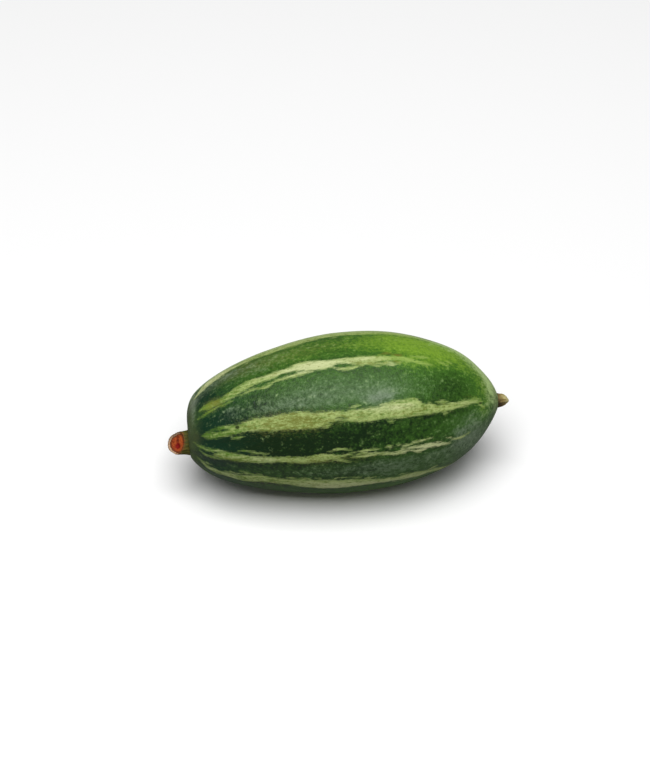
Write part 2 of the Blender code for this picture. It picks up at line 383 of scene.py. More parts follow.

# %% [markdown]
# ## The tones of the green
#
# The green between two stripes is not the same all round. It is almost black in some bands, a fresh green
# near the tip where the sun reached it, and a bluish green near the stem. A grey bloom of wax lies on it
# where it was rubbed least, and in places this grey is painted sheen as well: a painted highlight of the
# overhead light on the band that faces it, and a painted reflection low on the near side. Along the edge
# near the tip there is a pale line, a painted rim highlight. The stripes turn creamy in some places and
# olive in others. All these tones are soft, so each is a list of round patches that fade out, given by
# place, spread and strength. The brown scar and the dark spots are patches as well, only smaller and
# sharper.

# %% The places of the tones
TONES = {}  # mm along, degrees round, spread along in mm, spread round in mm, strength
TONES["bright"] = [
    (64, 81, 8, 3.4, 0.76), (74, 78, 6, 4.2, 0.6), (83, 86, 4, 3.4, 0.3), (66, 97, 6, 1.8, 0.45),
    (69, 66, 10, 1.5, 0.5), (30, 80, 14, 4, 0.34), (46, 83, 10, 4, 0.3), (57, 66, 6, 3, 0.25),
    (64, 112, 6, 3.6, 0.2), (47, 118, 14, 4, 0.22), (80, 116, 4, 5, 0.1), (48, 146, 12, 1.6, 0.1),
    (64, 180, 12, 6, 0.2), (86, 125, 3, 6, 0.45), (13, 111, 2.5, 1.3, 0.55), (9, 118, 1.2, 2, 0.4),
    (80, 128, 3, 2, 0.3), (78, 168, 3, 2, 0.25), (84, 152, 2, 2, 0.25), (60, 128, 10, 2, 0.14),
    (59, 147, 3, 1.6, 0.22), (76, 150, 5, 3, 0.16), (40, 20, 16, 9, 0.45), (70, 330, 10, 9, 0.55),
    (30, 288, 14, 7, 0.35), (62, 222, 12, 6, 0.3),
]
TONES["dark"] = [
    (32, 154, 13, 3.2, 1.1), (52, 153, 12, 3.4, 0.75), (16, 128, 5, 2.5, 0.7), (20, 152, 6, 4, 1),
    (13, 97, 4, 2.2, 0.6), (40, 186, 20, 3, 0.3), (75, 120, 5, 3.5, 0.65), (80, 112, 4, 3, 0.3),
    (50, 89, 6, 1.2, 0.35), (14, 175, 3, 3, 0.5), (13.5, 91, 3, 3.4, 0.8), (12.5, 98, 1.6, 1.6, 0.6),
    (88, 165, 4, 4, 0.3), (54, 144, 3, 1.4, 0.6), (70, 146, 5, 1.6, 0.4), (10, 128, 2, 3, 0.6),
    (12.5, 131, 2, 1.4, 0.8), (16, 122, 1.6, 1, 0.3), (27, 118, 2.5, 1.6, 0.8), (30, 255, 20, 6, 0.6),
    (56, 324, 16, 5, 0.5), (50, 358, 18, 5, 0.6),
]
# Wax bloom, partly painted sheen: the patches near 120 to 128 degrees paint the overhead light's highlight,
# those near 183 degrees a painted reflection, and the one at 9 mm a painted rim highlight.
TONES["bloom_and_sheen"] = [
    (40, 120, 8, 3, 0.32), (30, 128, 7, 2, 0.3), (58, 121, 8, 2.8, 0.3), (56, 128.2, 3, 1.6, 0.46),
    (30, 79, 16, 3.2, 0.2), (58, 183, 13, 3.6, 0.42), (34, 184, 12, 3, 0.12), (9, 85, 1.3, 2.6, 0.8),
    (16, 72, 7, 1.4, 0.45), (27, 88, 4, 1.6, 0.15), (8.5, 118, 0.8, 2, 0.3), (80, 182, 6, 6, 0.44),
    (91.5, 110, 2, 4, 0.4), (80, 62, 7, 1.8, 0.2), (88, 84, 3.6, 3.4, 0.12),
    (19.6, 120.5, 1.8, 1.3, 0.32), (76, 171, 3, 1.8, 0.3), (30, 20, 16, 6, 0.3), (60, 290, 14, 6, 0.3),
]
# A pale line along the outline near the tip: painted rim highlight.
TONES["painted_rim_sheen"] = [
    (79, 58, 7, 1.9, 1), (85, 69, 3.2, 2.3, 0.7), (89, 90, 2.2, 2.4, 0.42), (88.5, 114, 2.4, 3.2, 0.28),
    (86.5, 138, 2, 2.4, 0.22), (66, 45, 9, 1.2, 0.7), (90, 190, 1.6, 2.5, 0.2), (13, 58, 5, 1, 0.5),
    (60, 250, 9, 2, 0.4),
]
TONES["pale"] = [
    (41, 97, 5, 1.6, 1), (52, 96, 5, 1, 0.4), (56, 133.5, 5, 0.9, 0.6), (61, 136, 4, 0.9, 0.3),
    (30, 96.5, 6, 1, 0.35), (18, 104, 4, 1, 0.2), (26, 142, 5, 0.6, 0.3), (80, 135, 4, 1, 0.5),
    (15, 68, 7, 2.4, 1), (59.4, 101.6, 1, 0.5, 0.9), (53.5, 95.6, 2, 0.9, 0.25), (62, 168, 9, 1.6, 0.75),
    (69, 171, 4, 1.6, 0.6), (27, 168, 3, 1, 0.55), (15, 168, 5, 2, 0.3), (14, 108, 3, 1.5, -0.5),
    (16, 192, 6, 2, 0.55), (43, 200, 8, 2, 0.8), (60, 202, 8, 1.4, 0.6),
]
TONES["olive"] = [
    (30, 137.5, 5.5, 1.7, 0.85), (39, 138.5, 4.5, 1.7, 0.8), (49, 138, 4, 0.9, 0.35),
    (62, 139, 4, 1, 0.5), (70, 137, 4, 1, 0.4), (18, 169, 5, 1.2, 0.45), (40, 169, 3, 1, 0.4),
    (9, 144, 1.2, 1.5, 0.8), (36, 170, 8, 0.8, 0.4), (54, 99, 4, 0.6, 0.6), (49, 170, 4, 1.2, 0.3),
    (15, 108, 2.2, 1.2, 1.4), (26, 197, 10, 1.6, 0.4), (34, 78, 14, 3, 0.55), (20, 77, 6, 2, 0.45),
    (88, 104, 3, 3.5, 0.5),
]
TONES["scar"] = [
    (58.4, 91, 1, 0.4, 0.75), (61.3, 92.8, 0.9, 0.4, 0.75), (59.6, 93, 2.6, 0.25, 0.25),
    (60.6, 99.6, 1, 0.4, 0.7), (80, 128, 2.4, 0.4, 0.4),
]
TONES["spot"] = [
    (20.9, 137, 0.55, 0.45, 1), (14.5, 141.5, 0.9, 0.25, 0.6), (83, 137.6, 0.9, 0.3, 0.8),
    (31.5, 238.5, 0.5, 0.4, 0.9), (55, 18, 0.45, 0.45, 0.8),
]


def patches(along, degrees, radius_mm, places):
    """The sum of soft round patches."""
    total = np.zeros(along.shape)
    for at, round_at, spread_along, spread_round, strength in places:
        aside = turned(degrees - round_at) * math.pi / 180 * radius_mm
        away = ((along - at) / spread_along) ** 2 + (aside / spread_round) ** 2
        total += strength * np.exp(-0.5 * away)
    return total


# %% [markdown]
# ## The relief of the fruit
#
# The fruit has ten faint ribs, one under each stripe, which gather into a pucker at the stem. On top of
# them lie slow swellings, as on anything that grew, and a few broad ones that make the outline a little
# lopsided: fuller along the lower side and at the tip, flatter near the stem. A bump in the material
# can't change an outline, so all of this is moved in the mesh itself. Only the finest grain is left to
# the material.

# %% The relief
LOPSIDED = [  # mm along, degrees round, spread along in mm, spread round in mm, height in mm
    (15, 48, 6, 9, -0.50), (30, 46, 7, 9, -0.25), (66, 46, 6, 8, -0.20), (83, 60, 5.5, 6, 0.75),
    (90.5, 64, 2.4, 3, 0.75), (38, 228, 17, 5, 0.50), (79, 217, 6, 5, 0.50),
]
RIB_HEIGHT = 0.005  # as a share of the ring's radius, like the pucker
PUCKER = 0.026
SWELLING = 0.16 * MM
STEM_FOLDS = (0.10 * MM, 4.6, 2.2)  # their height, their place in mm from the pole, and their spread
TIP_FOLDS = (0.12 * MM, 3.6, 2.0)


def rib(degrees):
    """1 on the middle line of a stripe, -1 halfway between two."""
    tops = sorted(places[len(places) // 2][1] % 360 for places in STRIPES)
    tops = np.array([tops[-1] - 360, *tops, tops[0] + 360])
    turn = degrees % 360
    i = np.clip(np.searchsorted(tops, turn) - 1, 0, len(tops) - 2)
    return np.cos(2 * math.pi * (turn - tops[i]) / (tops[i + 1] - tops[i]))


def swelling(points, size):
    """Smooth noise from -1 to 1 with swellings of about that size."""
    return np.array([noise.noise(Vector(p) / size) for p in points])


def folds(sizes, from_pole, wave):
    """Folds round one end, as high as the wave says and fading out on both sides of their place."""
    height, at, spread = sizes
    return height * np.exp(-0.5 * ((from_pole - at) / spread) ** 2) * wave


def relief(along, angle, w, radius, points):
    """How far the skin stands off the plain outline, in metres."""
    degrees = np.degrees(angle)
    pucker = np.where(w < 0, PUCKER * np.abs(w) ** 4, 0)
    height = radius * (RIB_HEIGHT + pucker) * rib(degrees)
    height += patches(along, degrees, radius / MM, LOPSIDED) * MM
    fade = smooth(radius / (6 * MM))
    height += SWELLING * fade * (swelling(points, 17 * MM) + 0.45 * swelling(points, 6.5 * MM))
    height += folds(STEM_FOLDS, along, np.cos(11 * angle + 2 * np.sin(2 * angle)))
    return height + folds(TIP_FOLDS, SKIN_LENGTH - along, np.cos(9 * angle + 1.5 * np.sin(3 * angle)))


# %% [markdown]
# ## The fruit
#
# The fruit gets a ring about every third of a millimetre, fine enough to hold the relief and the edges of
# the stripes. What the material needs to know is stored on the points: where each one is on the skin, how
# far inside a stripe it lies, and the tones. `skin_place` rolls the skin onto a cylinder of one radius,
# so that a grain laid on it runs lengthwise, closes round the fruit without a seam, and gets finer
# towards the poles.
#
# The lowest point is pressed flat on the surface, where the soft skin gives under the weight.

# %% Making the fruit
FRUIT_SEGMENTS = 344
FRUIT_RINGS = 264


def fruit_shape(share, angle):
    along = share * SKIN_LENGTH
    points, w, radius = plain_points(along, angle)
    height = relief(along, angle, w, radius, points)
    points[:, 1] += height * np.cos(angle)
    points[:, 2] += height * np.sin(angle)
    down = pitched(np.eye(3))[:, 2]
    low = (fruit_low.z - frame_shift[2]) - points @ down
    points += np.maximum(0, low)[:, None] * down
    degrees = np.degrees(angle)
    radius_mm = radius / MM
    marks = {
        "skin_place": around(along, FRUIT_RADIUS / MM, angle),
        "stripe": inside_stripe(along, degrees, radius_mm),
        "from_stem": along,
        "from_tip": SKIN_LENGTH - along,
        "upper": np.sin(angle),
    }
    for tone, places in TONES.items():
        marks[tone] = patches(along, degrees, radius_mm, places)
    return points, marks


fruit = formed("gourd_fruit", FRUIT_SEGMENTS, FRUIT_RINGS, fruit_shape)
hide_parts("fruit")

# %% [markdown]
# ## The stub of the stalk
#
# The stalk was cut a few millimetres from the fruit. What is left is a short stub with three soft corners
# and a fine ribbing, which leans to one side and ends in a slanting face: a rim of dry bark round a
# sunken, torn core. It is the same kind of globe as the fruit. One pole lies in the cup of the fruit and
# the other in the middle of the cut, and the rings between them turn slowly from facing the fruit to
# facing the way of the cut. The stub is sunk a little into the fruit, so that no gap shows between them.

# %% Making the stub
STEM_RADIUS = 2.7 * MM
STEM_FLARE = 0.5 * MM
STEM_LENGTH = 3.2 * MM
STEM_LEAN = Vector((-0.92, -0.21, 0.27))
STEM_CUT_NORMAL = Vector((-0.64, -0.36, 0.68))
STEM_CORNERS = 3
STEM_CORNER_HEIGHT = 0.06
STEM_CORNER_TURN = math.radians(73)
STEM_RIM = 0.21 * MM
STEM_RECESS = 0.4 * MM
PITH_DEPTH = 0.30 * MM
TORN_DEPTH = 0.17 * MM
SHADED_SIDE = math.radians(132)
GAP = 0.3 * MM
SUNK = 0.35 * MM
PITH_PLACE = (-0.12, -0.20)  # off the middle of the cut, as a share of its radius
PITH_SPREAD = 0.24
STEM_SHARES = (0.10, 0.52, 0.62)  # where the foot, the side and the rim end, from the pole in the fruit


def end_point(side, radius, angle):
    """A point just under the skin at one end of the fruit. side is -1 at the stem and 1 at the blossom."""
    along, across = STEM_POWERS if side < 0 else BLOSSOM_POWERS
    w = side * (1 - (radius / FRUIT_RADIUS) ** across) ** (1 / along)
    y, z = ring_centre(w, radius)
    return around(ring_place(w, radius) - side * SUNK, radius, angle, y, z)


def turned_rings(flat, turns, side, facing):
    """Each point of flat turned by its share of the turn from one side's X axis to where the end faces."""
    axis, whole = Vector((side, 0, 0)).rotation_difference(facing.normalized()).to_axis_angle()
    axis, a = np.array(axis), (turns * whole)[:, None]
    along_axis = (flat @ axis)[:, None] * axis
    return along_axis + (flat - along_axis) * np.cos(a) + np.cross(axis, flat) * np.sin(a)


def stub_shape(share, angle):
    share = 1 - share
    foot_end, side_end, rim_end = STEM_SHARES
    along = np.clip((share - foot_end) / (side_end - foot_end), 0, 1)
    over = np.clip((share - side_end) / (rim_end - side_end), 0, 1)
    inward = np.clip((share - rim_end) / (1 - rim_end), 0, 1)
    foot_share = np.clip(share / foot_end, 0, 1)
    radius = (STEM_RADIUS + STEM_FLARE * (1 - along) ** 3) * foot_share
    radius = (radius - STEM_RIM * over) * (1 - inward)
    corners = np.cos(STEM_CORNERS * (angle - STEM_CORNER_TURN)) + 0.4 * np.cos(5 * angle + 1)
    corners = 1 + STEM_CORNER_HEIGHT * corners * (1 - 0.4 * inward)
    bark = (1 - inward) * smooth(along * 4)
    ribbing = 0.022 * np.cos(23 * angle + 3 * np.sin(angle)) + 0.012 * np.cos(41 * angle + 4 * along)
    radius = radius * corners * (1 + ribbing * bark)
    sink = STEM_RECESS * (over**2 + 0.55 * smooth(inward * 1.4))
    across, upright = (1 - inward) * np.cos(angle), (1 - inward) * np.sin(angle)
    pith = np.exp(-0.5 * ((across - PITH_PLACE[0]) ** 2 + (upright - PITH_PLACE[1]) ** 2) / PITH_SPREAD**2)
    on_face = np.stack([across, upright, over], -1)
    torn = swelling(on_face, 0.42) + 0.6 * swelling(on_face + 7, 0.2)
    sink += PITH_DEPTH * pith * smooth(inward * 3) + TORN_DEPTH * torn * smooth(over * 2)
    foot = end_point(-1, np.zeros(1), np.zeros(1))[0]
    start = end_point(-1, radius, angle) - foot
    follow = start[:, 0] * (1 - smooth(along * 3))
    flat = around(sink * (over > 0) + follow, radius, angle)
    lean = np.array(STEM_LEAN.normalized()) * (STEM_LENGTH + GAP + SUNK)
    points = foot + along[:, None] * lean + turned_rings(flat, along, -1, STEM_CUT_NORMAL)
    on_foot = (share <= foot_end)[:, None]
    points = np.where(on_foot, end_point(-1, radius, angle), points)
    marks = {
        "stem_place": around(along * 4 + over + inward * 2.4, STEM_RADIUS / MM, angle),
        "rim": over * (1 - smooth(inward * 6)),
        "core": inward,
        "pith": pith * smooth(inward * 3),
        "face_place": on_face * 3,
        "shaded": 0.9 * smooth(1.5 * np.cos(angle - SHADED_SIDE)),
        "up_stem": along,
    }
    return points, marks


stub = formed("gourd_stem_stub", 150, 110, stub_shape)
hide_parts("stem_stub")

# %% [markdown]
# ## The dried remnant of the flower
#
# The flower sat on the pointed end. When it withered, it left a small papery beak with soft folds and a
# blunt point. It is made in the same way, with deeper folds and some crumpling.

# %% Making the remnant
REMNANT_RADIUS = 1.75 * MM
REMNANT_LENGTH = 2.0 * MM
REMNANT_POINT_HEIGHT = 0.30 * MM
REMNANT_POINT_SPREAD = 0.40 * MM
REMNANT_FOLDS = 5
REMNANT_CRUMPLE = 0.10 * MM
REMNANT_LEAN = Vector((0.99, -0.09, -0.08))
REMNANT_FOOT = 0.15


def remnant_shape(share, angle):
    swing = math.pi / 2 * np.clip((share - REMNANT_FOOT) / (1 - REMNANT_FOOT), 0, 1)
    pleats = 1 + 0.09 * np.cos(REMNANT_FOLDS * angle)
    pleats += 0.05 * np.cos(13 * angle + 5 * swing) * np.sin(2 * swing)
    foot_share = np.clip(share / REMNANT_FOOT, 0, 1)
    radius = REMNANT_RADIUS * foot_share * np.maximum(0, np.cos(swing)) ** 1.12 * pleats
    point = REMNANT_POINT_HEIGHT * np.exp(-0.5 * (radius / REMNANT_POINT_SPREAD) ** 2)
    rise = (REMNANT_LENGTH + GAP + SUNK) * np.sin(swing) + point * smooth(swing)
    foot = end_point(1, np.zeros(1), np.zeros(1))[0]
    start = end_point(1, radius, angle) - foot
    follow = start[:, 0] * (1 - smooth(swing))
    flat = around(rise + follow, radius, angle)
    crumple = REMNANT_CRUMPLE * (swelling(flat, 0.7 * MM) + 0.5 * swelling(flat + 1, 0.3 * MM))
    crumple *= np.sin(swing * 2) ** 0.5
    flat += flat / np.maximum(1e-9, np.linalg.norm(flat, axis=1))[:, None] * crumple[:, None]
    points = foot + turned_rings(flat, np.sin(swing), 1, REMNANT_LEAN)
    on_foot = (share <= REMNANT_FOOT)[:, None]
    points = np.where(on_foot, end_point(1, radius, angle), points)
    marks = {
        "remnant_place": around(rise / MM, REMNANT_RADIUS / MM, angle),
        "up_remnant": rise / (REMNANT_LENGTH + GAP + SUNK),
        # For the painted light along the upper side.
        "lit_upper_side": np.sin(angle),
    }
    return points, marks


remnant = formed("gourd_blossom_remnant", 110, 80, remnant_shape)
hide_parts("blossom_remnant")

# %% [markdown]
# ## A helper for materials
#
# A material made of nodes is long to write with Blender's own calls. The small class below adds a node,
# sets its inputs and hands back its output in one line. Two of its calls do most of the painting: `plus`
# adds up masks and grains, and `tint` lays one colour over another where such a sum is high. Colours are
# given as they look on a screen, from 0 to 255, and turned into the light values that Blender mixes.

# %% Adding nodes in one line
def screen(red, green, blue):
    """A colour as it looks on a screen, as Blender's linear light."""
    shares = [v / 255 for v in (red, green, blue)]
    return (*[v / 12.92 if v <= 0.04045 else ((v + 0.055) / 1.055) ** 2.4 for v in shares], 1)


class Nodes:
    """Adds nodes to one tree. An input takes a plain value, an output or the name of a mark on the mesh."""

    def __init__(self, tree):
        self.tree = tree

    def feed(self, socket, value):
        if isinstance(value, str):
            value = self.mark(value)
        if isinstance(value, bpy.types.NodeSocket):
            self.tree.links.new(value, socket)
        else:
            socket.default_value = value

    def add(self, kind, settings=None, **inputs):
        made = self.tree.nodes.new(kind if kind.startswith("Node") else "ShaderNode" + kind)
        for name, value in (settings or {}).items():
            setattr(made, name, value)
        for name, value in inputs.items():
            self.feed(made.inputs[name.replace("_", " ")], value)
        return made

    def math(self, operation, *values, kind="Math"):
        made = self.add(kind, {"operation": operation})
        for socket, value in zip(made.inputs, values):
            self.feed(socket, value)
        return made.outputs[0]

    def plus(self, total, *parts):
        """The total, plus each part's value times its strength."""
        for value, strength in parts:
            total = self.math("MULTIPLY_ADD", value, strength, total)
        return total

    def mix(self, factor, first, second):
        made = self.add("Mix", {"data_type": "RGBA"})
        for socket, value in zip((made.inputs[0], made.inputs[6], made.inputs[7]), (factor, first, second)):
            self.feed(socket, value)
        return made.outputs[2]

    def share(self, value, low, high, rise="LINEAR"):
        """0 at low, 1 at high, in a straight line between them."""
        settings = {"interpolation_type": rise}
        return self.add("MapRange", settings, Value=value, From_Min=low, From_Max=high).outputs[0]

    def ease(self, value, low, high):
        """The same, but easing in and out."""
        return self.share(value, low, high, "SMOOTHSTEP")

    def tint(self, under, over, mask, low, high, strength=1):
        """Lays one colour over another where the mask is high."""
        return self.mix(self.math("MULTIPLY", self.ease(mask, low, high), strength), under, over)

    def noise(self, vector, scale, detail, roughness):
        """Smooth noise from -1 to 1."""
        made = self.add("TexNoise", Vector=vector, Scale=scale, Detail=detail, Roughness=roughness)
        return self.math("MULTIPLY_ADD", made.outputs[0], 2, -1)

    def mark(self, name, output="Fac"):
        """What is stored on the mesh: a value, or a place where the output is "Vector"."""
        return self.add("Attribute", {"attribute_name": name}).outputs[output]

    def group(self, tree, **inputs):
        return self.add("Group", {"node_tree": tree}, **inputs).outputs


def new_group(name, inputs, outputs):
    """An empty node group with named inputs, given as {name: (kind, value)}, and named float outputs."""
    tree = bpy.data.node_groups.new(name, "ShaderNodeTree")
    for label, (kind, value) in inputs.items():
        socket = tree.interface.new_socket(label, in_out="INPUT", socket_type="NodeSocket" + kind)
        if value is not None:
            socket.default_value = value
    for label in outputs:
        tree.interface.new_socket(label, in_out="OUTPUT", socket_type="NodeSocketFloat")
    nodes = Nodes(tree)
    return nodes, nodes.add("NodeGroupInput").outputs, nodes.add("NodeGroupOutput").inputs


# %% [markdown]
# ## Two effects that all the materials share
#
# *Streaks* are a grain that is long one way and fine the other. They fray the stripes, run down the bark
# of the stub and fold the remnant. The trick is to squeeze the place on the skin before it reaches the
# noise: divided by a large length along the grain and by a small width across it.
#
# *Speckle* is the fine pebbling of a plant's skin, the same in all directions. It gives a height for the
# bump and a tint for the colour.

# %% The streaks
def make_streaks():
    inputs = {"Place": ("Vector", None), **{name: ("Float", 1) for name in ("Length", "Width", "Start")}}
    nodes, given, out = new_group("plant_streaks", inputs, ["Coarse", "Fine"])
    squeeze = nodes.add("CombineXYZ", X=given["Length"], Y=given["Width"], Z=given["Width"]).outputs[0]
    grain = nodes.math("DIVIDE", given["Place"], squeeze, kind="VectorMath")
    shifted = nodes.math("ADD", grain, given["Start"], kind="VectorMath")
    elsewhere = nodes.math("ADD", shifted, (17, 3, 9), kind="VectorMath")
    nodes.feed(out["Coarse"], nodes.noise(shifted, 1, 2, 0.55))
    nodes.feed(out["Fine"], nodes.noise(elsewhere, 3.1, 3, 0.6))
    return nodes.tree


streaks_tree = make_streaks()


def streaks(nodes, place, length, width, start):
    """The streaks in one material, with their size in millimetres. Each start gives another grain."""
    return nodes.group(streaks_tree, Place=place, Length=length, Width=width, Start=start)


# %% The speckle
def make_speckle():
    nodes, given, out = new_group("plant_speckle", {"Size": ("Float", 0.5)}, ["Height", "Tint"])
    place = nodes.add("TexCoord").outputs["Object"]
    scale = nodes.math("DIVIDE", 1000, given["Size"])
    cells = nodes.add("TexVoronoi", {"feature": "SMOOTH_F1"}, Vector=place, Scale=scale, Smoothness=0.6)
    pebble = nodes.math("SUBTRACT", 0.5, cells.outputs["Distance"])
    fine = nodes.noise(place, nodes.math("MULTIPLY", scale, 1.7), 2, 0.5)
    nodes.feed(out["Height"], nodes.plus(pebble, (fine, 0.25)))
    nodes.feed(out["Tint"], nodes.noise(place, nodes.math("MULTIPLY", scale, 0.55), 3, 0.65))
    return nodes.tree


speckle_tree = make_speckle()
print("node groups:", [tree.name for tree in bpy.data.node_groups])

# %% [markdown]
# ## The skin
#
# The skin is built in layers, from the ground up, as a painter would. First the green, from almost black
# through leaf green to a fresh yellow green, a little darker close beside a stripe, with the grey of wax
# bloom over it, which in places is a painted sheen and a painted reflection. Then the pale stripes, with
# frayed edges and a mottled inside. Then the scar, the spots, and the dull tones of both ends.

# %% The green ground
GREEN_DEEP = screen(10, 36, 5)
GREEN_LEAF = screen(60, 102, 28)
GREEN_FRESH = screen(117, 155, 42)
GREEN_STEM = screen(8, 54, 36)
GREEN_OLIVE = screen(104, 104, 50)
WAX_AND_SHEEN_GREY = screen(126, 139, 121)


def green_ground(nodes, place, coarse, fine):
    """The green with its tones, and the grey of wax bloom over it, which in places is a painted sheen."""
    broad = streaks(nodes, place, length=14, width=5, start=4)
    grain = streaks(nodes, place, length=2.6, width=0.8, start=21)
    tone = nodes.plus(0.27, ("bright", 0.75))
    tone = nodes.math("SUBTRACT", tone, nodes.math("MULTIPLY", "dark", 0.3))
    beside = nodes.ease("stripe", -1.7, -0.4)
    tone = nodes.plus(tone, (beside, -0.09), (broad["Coarse"], 0.16), (grain["Coarse"], 0.18))
    tone = nodes.plus(tone, (coarse, 0.38), (fine, 0.46))
    dark_to_leaf = nodes.mix(nodes.share(tone, -0.08, 0.62), GREEN_DEEP, GREEN_LEAF)
    green = nodes.mix(nodes.share(tone, 0.6, 1.15), dark_to_leaf, GREEN_FRESH)
    browner = nodes.plus("olive", (grain["Fine"], 0.9), (fine, 0.5))
    green = nodes.tint(green, GREEN_OLIVE, browner, 0.1, 1, 0.5)
    bluish = nodes.plus("from_stem", (broad["Fine"], 9))
    green = nodes.tint(green, GREEN_STEM, bluish, 30, 12, 0.5)
    # The grey is wax bloom, and in places a painted sheen and a painted reflection.
    wax_and_sheen = nodes.plus("bloom_and_sheen", (beside, -0.2), (broad["Coarse"], 0.1), (coarse, 0.42), (fine, 0.5))
    return nodes.tint(green, WAX_AND_SHEEN_GREY, wax_and_sheen, 0.1, 1.1, 0.9)


# %% The stripes on it
STRIPE_CREAM = screen(200, 206, 154)
STRIPE_PALE = screen(158, 176, 104)
STRIPE_FRESH = screen(128, 162, 58)
STRIPE_GREEN = screen(80, 116, 36)
STRIPE_OLIVE = screen(108, 112, 38)


def stripe_masks(nodes, place, fine):
    """(how far the stripe covers the green, the same edge as a soft relief)"""
    fray = streaks(nodes, place, length=3.2, width=0.8, start=0)
    thread = streaks(nodes, place, length=1.6, width=0.22, start=40)
    raggedness = nodes.plus(0.28, (nodes.ease("from_stem", 54, 78), 0.45))
    edge = nodes.plus("stripe", (fray["Coarse"], raggedness), (thread["Coarse"], 0.6), (fine, 0.45))
    return nodes.ease(edge, -0.36, 0.4), nodes.ease(edge, -0.7, 0.7)


def stripe_colour(nodes, place, coarse, fine):
    """Pale with greener and browner threads in it, greener near the stem and fresher where it is bright."""
    inner = streaks(nodes, place, length=2.8, width=0.5, start=33)
    patchy = streaks(nodes, place, length=7, width=2.2, start=61)
    greener = nodes.plus(0.3, (nodes.ease("from_stem", 30, 12), 0.62), (inner["Coarse"], 0.85))
    greener = nodes.plus(greener, (patchy["Coarse"], 0.35), (coarse, 0.45), (fine, 0.95))
    colour = nodes.tint(STRIPE_PALE, STRIPE_GREEN, greener, 0, 1.15)
    paler = nodes.plus("pale", (inner["Coarse"], -0.6))
    colour = nodes.tint(colour, STRIPE_CREAM, paler, 0.1, 1.1, 0.8)
    browner = nodes.plus("olive", (inner["Fine"], 1.9), (patchy["Fine"], 1.1), (coarse, 1.1), (fine, 0.9))
    colour = nodes.tint(colour, STRIPE_OLIVE, browner, 0.15, 1.5, 0.88)
    return nodes.tint(colour, STRIPE_FRESH, "bright", 0.25, 0.9, 0.6)


# %% [markdown]
# ## Putting the skin together
#
# Where the skin is seen edge on, along the upper outline, a thin pale line is painted in: a painted rim
# highlight, the light that a lit edge throws back when it is seen edge on. `Facing` of the Layer Weight
# node tells how far the skin turns away, so the line follows the outline from any side.
#
# Base colour, roughness and normal are the three things that change over the surface. A plant's wax is a
# rough gloss, so the roughness is middling and the pebbles break the highlight up. What is the same all
# over, such as how strongly the wax mirrors, is set straight on the shader's own socket.

# %% A new material and its finish
BUMP_REACH = 0.08 * MM


def new_material(piece, name):
    """Puts a new material on a piece, and hands back its nodes and its shader."""
    made = bpy.data.materials.new(name)
    made.use_nodes = True
    piece.data.materials.append(made)
    return Nodes(made.node_tree), made.node_tree.nodes["Principled BSDF"]


def finish(nodes, shader, colour, rough, height, bump_strength, mirrors):
    """Feeds the shader with what changes over the surface, and sets what doesn't."""
    nodes.feed(shader.inputs["Base Color"], colour)
    nodes.feed(shader.inputs["Roughness"], rough)
    bump = nodes.add("Bump", Strength=bump_strength, Distance=BUMP_REACH, Height=height)
    nodes.feed(shader.inputs["Normal"], bump.outputs[0])
    shader.inputs["Specular IOR Level"].default_value = mirrors


# %% The skin material
SCAR_BROWN = screen(116, 100, 36)
SPOT_DARK = screen(44, 60, 12)
STEM_END_OLIVE = screen(78, 92, 50)
TIP_END_GREY = screen(98, 118, 66)
PAINTED_RIM_SHEEN_GREEN = screen(172, 198, 128)
PAINTED_RIM_PALE = screen(172, 194, 134)
PAINTED_RIM_GREY = screen(188, 202, 172)


def make_skin(piece):
    nodes, shader = new_material(piece, "gourd_skin")
    place = nodes.mark("skin_place", "Vector")
    pebbles = nodes.group(speckle_tree, Size=0.36)
    blots = nodes.group(speckle_tree, Size=0.8)
    coarse, fine = blots["Tint"], pebbles["Tint"]
    ground = green_ground(nodes, place, coarse, fine)
    covers, raised = stripe_masks(nodes, place, fine)
    colour = nodes.mix(covers, ground, stripe_colour(nodes, place, coarse, fine))
    scarred = nodes.plus("scar", (streaks(nodes, place, length=1.6, width=0.5, start=50)["Coarse"], 0.45))
    colour = nodes.tint(colour, SCAR_BROWN, scarred, 0.15, 1.1, 0.6)
    colour = nodes.tint(colour, SPOT_DARK, "spot", 0.35, 0.85)
    greying = streaks(nodes, place, length=2.5, width=1.2, start=70)["Coarse"]
    stem_end = nodes.ease(nodes.plus("from_stem", (greying, 1.6)), 12.5, 6)
    tip_end = nodes.ease(nodes.plus("from_tip", (greying, 2.2)), 6.5, 1)
    colour = nodes.mix(nodes.math("MULTIPLY", stem_end, 0.7), colour, STEM_END_OLIVE)
    # The pale line near the tip is a painted rim highlight.
    painted_rim_sheen_mask = nodes.plus("painted_rim_sheen", (greying, 0.3), (coarse, 0.55), (fine, 0.45))
    colour = nodes.tint(colour, PAINTED_RIM_SHEEN_GREEN, painted_rim_sheen_mask, 0.1, 1, 0.85)
    colour = nodes.mix(nodes.math("MULTIPLY", tip_end, 0.7), colour, TIP_END_GREY)
    # Painted rim highlight along the upper outline, greyer towards the stem and fading out at the stem
    # pole.
    stemward = nodes.ease("from_stem", 30, 16)
    painted_rim_strength = nodes.plus(0.6, (stemward, 0.25))
    for mark, low, high in (("upper", -0.2, 0.7), ("from_stem", 6, 12)):
        painted_rim_strength = nodes.math("MULTIPLY", painted_rim_strength, nodes.ease(mark, low, high))
    facing = nodes.add("LayerWeight", Blend=0.5).outputs["Facing"]
    colour = nodes.tint(colour, nodes.mix(stemward, PAINTED_RIM_PALE, PAINTED_RIM_GREY), facing, 0.7, 0.97, painted_rim_strength)
    rough = nodes.plus(0.5, (fine, 0.1), (covers, 0.06), (nodes.math("MAXIMUM", stem_end, tip_end), 0.15))
    height = nodes.plus(pebbles["Height"], (raised, 0.5), (blots["Height"], 0.8))
    finish(nodes, shader, colour, rough, height, bump_strength=0.8, mirrors=0.22)


make_skin(fruit)

